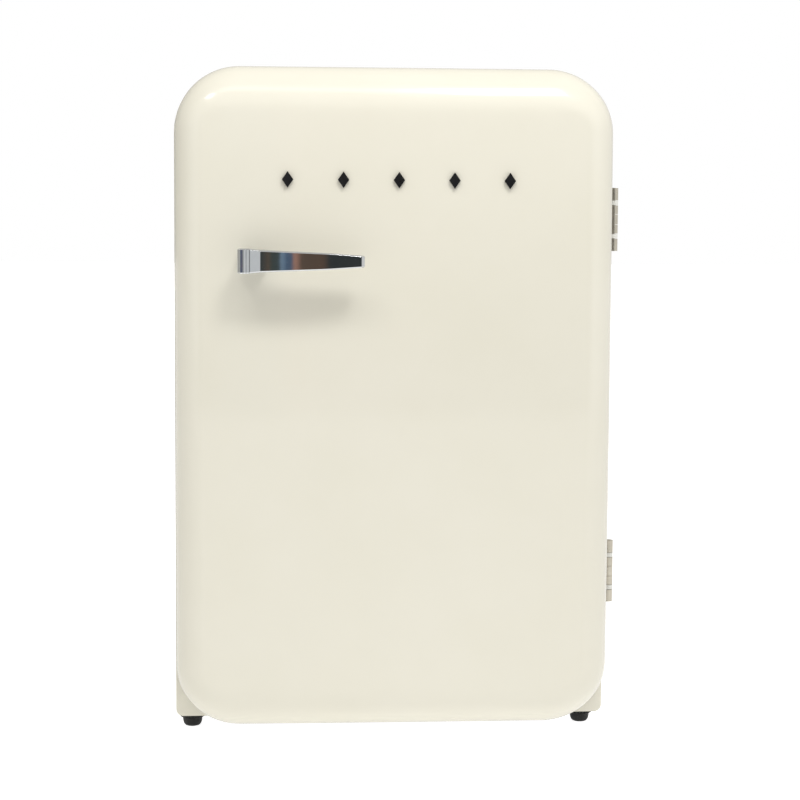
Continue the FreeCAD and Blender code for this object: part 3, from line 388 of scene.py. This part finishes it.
def rolled_edge(edge):
    """Rings from the door's widest outline round to its face."""
    steps = 18
    rings = []
    for k in range(steps + 1):
        angle = math.pi / 2 * k / steps
        ring = []
        for x, z, nx, nz in edge:
            across, back = SIDE_ROUND.lerp(END_ROUND, nz * nz)
            inset = across * (1 - math.cos(angle))
            px, pz = x - nx * inset, z - nz * inset
            ring.append((px, crown_y(px, pz) + back * (1 - math.sin(angle)), pz))
        rings.append(ring)
    return rings


def crowned_face(rim):
    """Rings inside the rim, each nearer the face's middle."""
    steps = 16
    rings = []
    for k in range(1, steps):
        t = 1 - k / steps
        places = [(x * t, DOOR_MID_Z + (z - DOOR_MID_Z) * t) for x, y, z in rim]
        rings.append([(x, crown_y(x, z), z) for x, z in places])
    return rings


def door_shell():
    """The pressed door skin: a crowned face whose edges roll back, deeper at the top and bottom."""
    fold = 2 * MM
    edge = round_outline(DOOR_HALF_W, DOOR_LOW.z, DOOR_HIGH.z, CORNER_R)
    count = len(edge)
    rings = [[(x, y, z) for x, z, nx, nz in edge] for y in (DOOR_BACK_Y, DOOR_BACK_Y - fold)]
    rings += rolled_edge(edge)
    rings += crowned_face(rings[-1])
    points = [point for ring in rings for point in ring]
    last = len(points) - count
    points.append((0, DOOR_APEX_Y, DOOR_MID_Z))
    middle = len(points) - 1
    faces = stitched(len(rings), count)
    faces += [(last + i, last + (i + 1) % count, middle) for i in range(count)]
    shell = piece("door_shell", points, faces, "cream_paint", "door")
    wall = shell.modifiers.new("sheet", "SOLIDIFY")
    wall.thickness = SKIN_T
    wall.offset = -1
    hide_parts("door_outer_skin", "door_foam")


def door_seal():
    """Magnetic gasket: a flat magnet bead on a folded bellows."""
    low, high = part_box("door_gasket")
    front, back = low.y, high.y
    depth = back - front
    width = 14 * MM
    bead_chamfer = 0.6 * MM
    # Outer side of the section, from the door to the bead: how far it stands in, and its y
    side = [(1.6 * MM, front), (2.6 * MM, back - depth * 0.76), (0.4 * MM, back - depth * 0.62),
            (2.2 * MM, back - depth * 0.46), (0.0, back - depth * 0.36), (0.0, back - bead_chamfer),
            (bead_chamfer, back)]
    section = side + [(width - inset, y) for inset, y in reversed(side)]
    radius = CORNER_R - (DOOR_HALF_W - high.x)
    outline = round_outline(high.x, low.z, high.z, radius)
    rings = [[(x - nx * inset, y, z - nz * inset) for x, z, nx, nz in outline] for inset, y in section]
    seal = ringed("door_seal", rings, "seal_rubber", "door", closed=True)
    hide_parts("door_gasket")


# ---------------------------------------------------------------- lever, in mm from its end cap and back


LEVER_LENGTH = 154
LEVER_CHAMFER = 1.4


def lever_plan():
    """Outline seen from above: ribbed collar, turned-back facet, bowed face and blunt tip."""
    collar = [(0, 0), (0, -8), (3.2, -10.5), (6.6, -10.5), (6.8, -9.2), (10.2, -10.4), (10.4, -9.3),
              (14, -10.6), (14.4, -8.6)]
    tip = [(LEVER_LENGTH - 0.6, -8.8), (LEVER_LENGTH, -8), (LEVER_LENGTH, -1.4), (LEVER_LENGTH - 3, 0),
           (LEVER_LENGTH - 79, 0)]
    face_start, face_end = 27.5, 150
    start_lean, end_lean = math.radians(-3.0), math.radians(4.5)  # how far the face is turned at its ends
    foremost = -14.0
    bow = (end_lean - start_lean) / (face_end - face_start)
    foremost_x = face_start - start_lean / bow
    steps = 16
    face = []
    for k in range(steps + 1):
        x = face_start + (face_end - face_start) * k / steps
        face.append((x, foremost + bow * (x - foremost_x) ** 2 / 2))
    return collar + face + tip


def lever_half_height(x):
    """The lever narrows from its end cap to its tip."""
    profile = [(0, 15.4), (14, 15.2), (14.4, 14.9), (26, 13.4), (108, 10.3), (LEVER_LENGTH, 7.2)]
    for (x0, h0), (x1, h1) in zip(profile, profile[1:]):
        if x <= x1:
            return h0 + (h1 - h0) * (x - x0) / (x1 - x0)
    return profile[-1][1]


def pulled_in(x, y):
    """A point of the lever's plan, moved inwards by the chamfer."""
    if y < -LEVER_CHAMFER:
        y += LEVER_CHAMFER
    return min(max(x, LEVER_CHAMFER), LEVER_LENGTH - LEVER_CHAMFER), y


def lever():
    """Chrome lever: the plan at four heights, with chamfered top and bottom edges."""
    low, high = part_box("handle_lever")
    mid_z = (low.z + high.z) / 2
    rings = []
    for side, chamfered in ((1, True), (1, False), (-1, False), (-1, True)):
        ring = []
        for x, y in lever_plan():
            px, py = pulled_in(x, y) if chamfered else (x, y)
            rise = lever_half_height(x) - (0 if chamfered else LEVER_CHAMFER)
            ring.append((low.x + px * MM, high.y + py * MM, mid_z + side * rise * MM))
        rings.append(ring)
    bar = ringed("chrome_lever", rings, "chrome_plate", "door")
    bevel(bar, 0.3 * MM, 12)
    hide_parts("handle_lever")


def lever_post():
    """Foot of the lever: a rounded block that narrows away from the door."""
    low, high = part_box("handle_post")
    mid = (low + high) / 2
    half_x = (high.x - low.x) / 2
    half_z = (high.z - low.z) / 2
    corner = 5 * MM
    outline = []
    for side_x, side_z, start in ((1, -1, -90), (1, 1, 0), (-1, 1, 90), (-1, -1, 180)):
        outline += arc((side_x * (half_x - corner), side_z * (half_z - corner)), corner, start, 90, 6)
    levels = [(high.y, 1.0), (high.y - 3 * MM, 1.0), (high.y - 5 * MM, 0.965), (low.y, 0.83)]
    rings = [[(mid.x + x * scale, y, mid.z + z * scale) for x, z in outline] for y, scale in levels]
    post = ringed("chrome_post", rings, "chrome_plate", "door")
    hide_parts("handle_post")


# ---------------------------------------------------------------- thermostat dial


DIAL_LOW, DIAL_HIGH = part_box("thermostat_knob")
DIAL_MID = (DIAL_LOW + DIAL_HIGH) / 2
DIAL_BACK_X = DIAL_LOW.x + 13 * MM


def dial_ring(x, radius, steps, flutes=0, depth=0.0):
    """Circle round the dial's axis, with flutes cut into it by the depth."""
    ring = []
    for k in range(steps):
        turn = 2 * math.pi * k / steps
        r = radius - depth * (1 + math.cos(turn * flutes)) / 2
        ring.append((x, DIAL_MID.y + r * math.cos(turn), DIAL_MID.z + r * math.sin(turn)))
    return ring


def dial_disc():
    """Fluted rim with a chamfer, and a dished face."""
    rim_r = DIAL_HIGH.y - DIAL_MID.y
    flutes = 30
    steps = 8 * flutes
    flute_depth = 0.45 * MM
    # In mm: how far forward of the back, how far inside the rim; and the share of the flutes' depth
    rim = [(0.0, 0.4, 1.0), (0.4, 0.0, 1.0), (4.2, 0.0, 1.0), (4.8, 0.6, 0.6), (5.0, 1.5, 0.0),
           (4.4, 3.0, 0.0)]
    rings = []
    for forward, inside, share in rim:
        x = DIAL_BACK_X - forward * MM
        rings.append(dial_ring(x, rim_r - inside * MM, steps, flutes, share * flute_depth))
    rings.append(dial_ring(DIAL_BACK_X - 4.2 * MM, 3 * MM, steps))
    return ringed("dial_disc", rings, "white_moulding", "thermostat_dial")


def dial_grip():
    """Bar across the dial's face, with round ends, which narrows towards the hand."""
    half_thick = 3 * MM
    half_long = 15 * MM
    outline = []
    for side, start in ((1, 0), (-1, 180)):
        outline += arc((0, side * (half_long - half_thick)), half_thick, start, 180, 12)
    levels = [(DIAL_BACK_X - 4 * MM, 1.0), (DIAL_LOW.x + 1 * MM, 0.8), (DIAL_LOW.x, 0.62)]
    rings = [[(x, DIAL_MID.y + y * scale, DIAL_MID.z + z * scale) for y, z in outline]
             for x, scale in levels]
    return ringed("dial_grip", rings, "white_moulding", "thermostat_dial")


def dial_shaft():
    radius = 3 * MM
    chamfer = 0.6 * MM
    steps = 32
    rings = [dial_ring(DIAL_BACK_X, radius, steps), dial_ring(DIAL_HIGH.x - chamfer, radius, steps),
             dial_ring(DIAL_HIGH.x, radius - chamfer, steps)]
    return ringed("dial_shaft", rings, "white_moulding", "thermostat_dial")


def dial():
    for part in (dial_disc(), dial_grip(), dial_shaft()):
        bevel(part, 0.2 * MM, 35)
        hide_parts("thermostat_knob")


# ---------------------------------------------------------------- studio


def area_light(name, place, size, power, mirrored):
    """Lamp aimed at the door; one that isn't mirrored leaves no highlight on gloss."""
    light = bpy.data.lights.new(name, "AREA")
    light.shape = "RECTANGLE"
    light.size, light.size_y = size
    light.energy = power
    light.color = (1.0, 0.985, 0.96)
    lamp = bpy.data.objects.new(name, light)
    bpy.context.scene.collection.objects.link(lamp)
    lamp.location = place
    lamp.visible_glossy = mirrored
    lamp.rotation_mode = "QUATERNION"
    target = Vector((0, -0.25, 0.6))
    lamp.rotation_quaternion = (target - Vector(place)).to_track_quat("-Z", "Y")


def lamps():
    softbox_y = -1.05
    area_light("softbox", (0.34, softbox_y, 1.85), (0.34, 0.28), 5.5, mirrored=True)
    area_light("softbox_left", (-0.16, softbox_y, 1.87), (0.66, 0.2), 0.45, mirrored=True)
    area_light("softbox_far", (-0.72, softbox_y, 1.85), (0.26, 0.2), 1.2, mirrored=True)
    area_light("fill", (-0.05, softbox_y, 1.95), (2.0, 0.24), 7.8, mirrored=False)


def pale_floor():
    """Looks white to the camera, yet throws little light up at the fridge."""
    glow_on_fridge, glow_in_view = 0.42, 0.9
    n = Finish("pale_floor")
    n.link(n.mix(n.noise(3), rgb(222, 222, 222), rgb(228, 228, 228)), n.shader.inputs["Base Color"])
    n.set(Roughness=0.8, Emission_Color=(1, 1, 1, 1))
    glow = n.ranged(n.seen_by_camera(), 0, 1, glow_on_fridge, glow_in_view)
    n.link(glow, n.shader.inputs["Emission Strength"])
    return n.owner


def floor():
    """Flat floor. It ends behind the camera, so that upright metal mirrors the room and not the floor."""
    reach = 30.0
    front_y = -4.5
    corners = [(-reach, front_y, 0), (reach, front_y, 0), (reach, reach, 0), (-reach, reach, 0)]
    mesh = bpy.data.meshes.new("studio_floor")
    mesh.from_pydata(corners, [], [(0, 1, 2, 3)])
    sheet = bpy.data.objects.new("studio_floor", mesh)
    bpy.context.scene.collection.objects.link(sheet)
    mesh.materials.append(pale_floor())


# What bright metal sees at the height of the camera, from far left to far right: (direction x, colour)
ROOM = [
    # Pale wall
    (-1.00, (0.62, 0.63, 0.63)),
    (-0.46, (0.66, 0.67, 0.67)),
    # Dark wall
    (-0.38, (0.11, 0.12, 0.12)),
    (-0.14, (0.05, 0.055, 0.055)),
    (-0.089, (0.05, 0.062, 0.062)),
    # Narrow brown strip
    (-0.083, (0.13, 0.09, 0.06)),
    (-0.078, (0.13, 0.09, 0.06)),
    # Dark wall
    (-0.073, (0.06, 0.075, 0.068)),
    (-0.045, (0.06, 0.075, 0.072)),
    # Blue panel with a bright edge
    (-0.038, (0.22, 0.31, 0.41)),
    (-0.024, (0.09, 0.135, 0.20)),
    (-0.006, (0.085, 0.125, 0.19)),
    # Red-brown panel
    (-0.002, (0.38, 0.21, 0.155)),
    (0.012, (0.36, 0.20, 0.15)),
    # Dark brown panel
    (0.018, (0.12, 0.085, 0.065)),
    (0.09, (0.11, 0.075, 0.055)),
    # Dark wall
    (0.11, (0.04, 0.046, 0.046)),
    (0.42, (0.045, 0.05, 0.05)),
    # Pale wall
    (0.60, (0.74, 0.74, 0.73)),
    (1.00, (0.88, 0.88, 0.87)),
]


def room_bands(n, across):
    """Colour of the room by the direction's x, from -1 to 1."""
    ramp = n.add("ShaderNodeValToRGB")
    n.link(n.ranged(across, -1.0, 1.0), ramp.inputs["Fac"])
    stops = ramp.color_ramp.elements
    for k, (x, colour) in enumerate(ROOM):
        place = (x + 1) / 2
        stop = stops[k] if k < len(stops) else stops.new(place)
        stop.position = place
        stop.color = colour + (1.0,)
    return ramp.outputs["Color"]


def surroundings():
    """White to the camera. Gloss sees a room instead: its bands in front of the fridge, pale walls above
    them and greyer ones behind, all darker towards the side that the camera stands on."""
    world = bpy.data.worlds.new("studio")
    bpy.context.scene.world = world
    n = Nodes(world)
    split = n.add("ShaderNodeSeparateXYZ")
    n.link(n.add("ShaderNodeTexCoord").outputs["Generated"], split.inputs["Vector"])
    across, away, up = split.outputs
    side = n.ranged(across, -0.9, 0.9, kind="SMOOTHSTEP")
    walls = n.mix(side, (0.56, 0.54, 0.49, 1), (0.87, 0.86, 0.84, 1))
    rear = n.mix(side, (0.43, 0.415, 0.375, 1), (0.70, 0.69, 0.67, 1))
    front = n.mix(n.ranged(up, 0.16, 0.5, kind="SMOOTHSTEP"), room_bands(n, across), walls)
    room = n.mix(n.ranged(away, -0.75, -0.1, kind="SMOOTHSTEP"), front, rear)
    shown = n.mix(n.seen_by_camera(), room, (1, 1, 1, 1))
    n.link(shown, n.tree.nodes["Background"].inputs["Color"])


def camera():
    """Stands left of the middle, a little above half height, and looks slightly down."""
    place = (-0.170, -2.734, 0.657)
    yaw, pitch, roll = (math.radians(angle) for angle in (4.07, 5.04, 0.34))
    cam = bpy.data.cameras.new("view")
    cam.lens = 90.0
    cam.sensor_width = 36.0
    eye = bpy.data.objects.new("view", cam)
    bpy.context.scene.collection.objects.link(eye)
    turn = Matrix.Rotation(-yaw, 3, "Z") @ Matrix.Rotation(math.pi / 2 - pitch, 3, "X")
    eye.rotation_euler = (turn @ Matrix.Rotation(roll, 3, "Z")).to_euler()
    eye.location = place
    bpy.context.scene.camera = eye


def studio():
    floor()
    surroundings()
    camera()
    lamps()
    bpy.context.scene.view_settings.view_transform = "Standard"


dress_frame()
door_shell()
door_seal()
lever()
lever_post()
dial()
studio()
